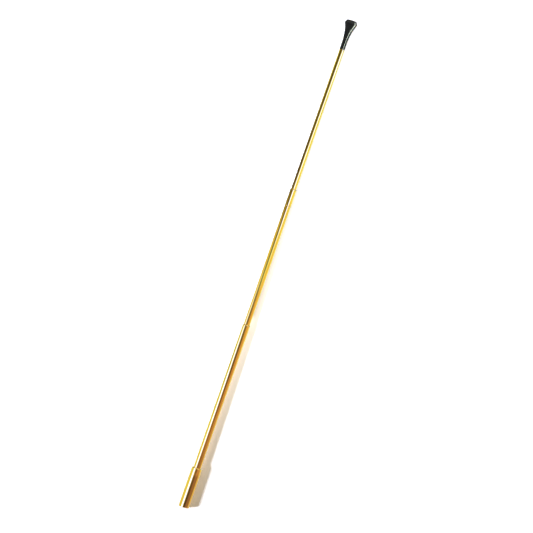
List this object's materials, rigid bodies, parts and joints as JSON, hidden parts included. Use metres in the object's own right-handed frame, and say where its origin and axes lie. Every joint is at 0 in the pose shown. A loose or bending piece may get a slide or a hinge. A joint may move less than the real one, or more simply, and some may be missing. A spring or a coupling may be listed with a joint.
{
  "type": "telescopic cigarette holder",
  "caption": "Slim gold telescopic cigarette holder, drawn out: an open socket for the cigarette, sliding tubes that lengthen it, and a flat black fishtail mouthpiece.",
  "frame": {"origin": "centre of the socket's open mouth, on the common axis of the tubes", "axes": "+X runs along the tubes from the socket to the mouthpiece, +Z is square to the mouthpiece's flat face, +Y is across its width"},
  "size_m": [0.4395, 0.011, 0.009],
  "materials": {
    "gold_plate": "polished gold plate on drawn brass",
    "raw_brass": "turned brass, unplated",
    "spring_bronze": "rolled spring bronze strip",
    "black_resin": "moulded, glossy"
  },
  "bodies": {
    "barrel": {"socket_tube": "gold_plate", "socket_bush": "raw_brass", "outer_tube": "gold_plate", "rear_stop": "raw_brass", "outer_guide_bush": "raw_brass"},
    "middle_slider": {"middle_friction_sleeve": "spring_bronze"},
    "middle_section": {"middle_tube": "gold_plate", "middle_stop_collar": "raw_brass", "middle_guide_bush": "raw_brass"},
    "inner_slider": {"inner_friction_sleeve": "spring_bronze"},
    "inner_section": {"inner_tube": "gold_plate", "inner_stop_collar": "raw_brass", "mouthpiece": "black_resin"}
  },
  "joints": [
    {"name": "middle_slide", "type": "slide", "parent": "barrel", "child": "middle_slider", "axis": [-1, 0, 0], "range_m": [0, 0.1195]},
    {"name": "middle_turn", "type": "hinge", "parent": "middle_slider", "child": "middle_section", "pos_m": [0.15, 0, 0], "axis": [1, 0, 0], "continuous": true},
    {"name": "inner_slide", "type": "slide", "parent": "middle_section", "child": "inner_slider", "axis": [-1, 0, 0], "range_m": [0, 0.114]},
    {"name": "inner_turn", "type": "hinge", "parent": "inner_slider", "child": "inner_section", "pos_m": [0.2725, 0, 0], "axis": [1, 0, 0], "continuous": true}
  ]
}
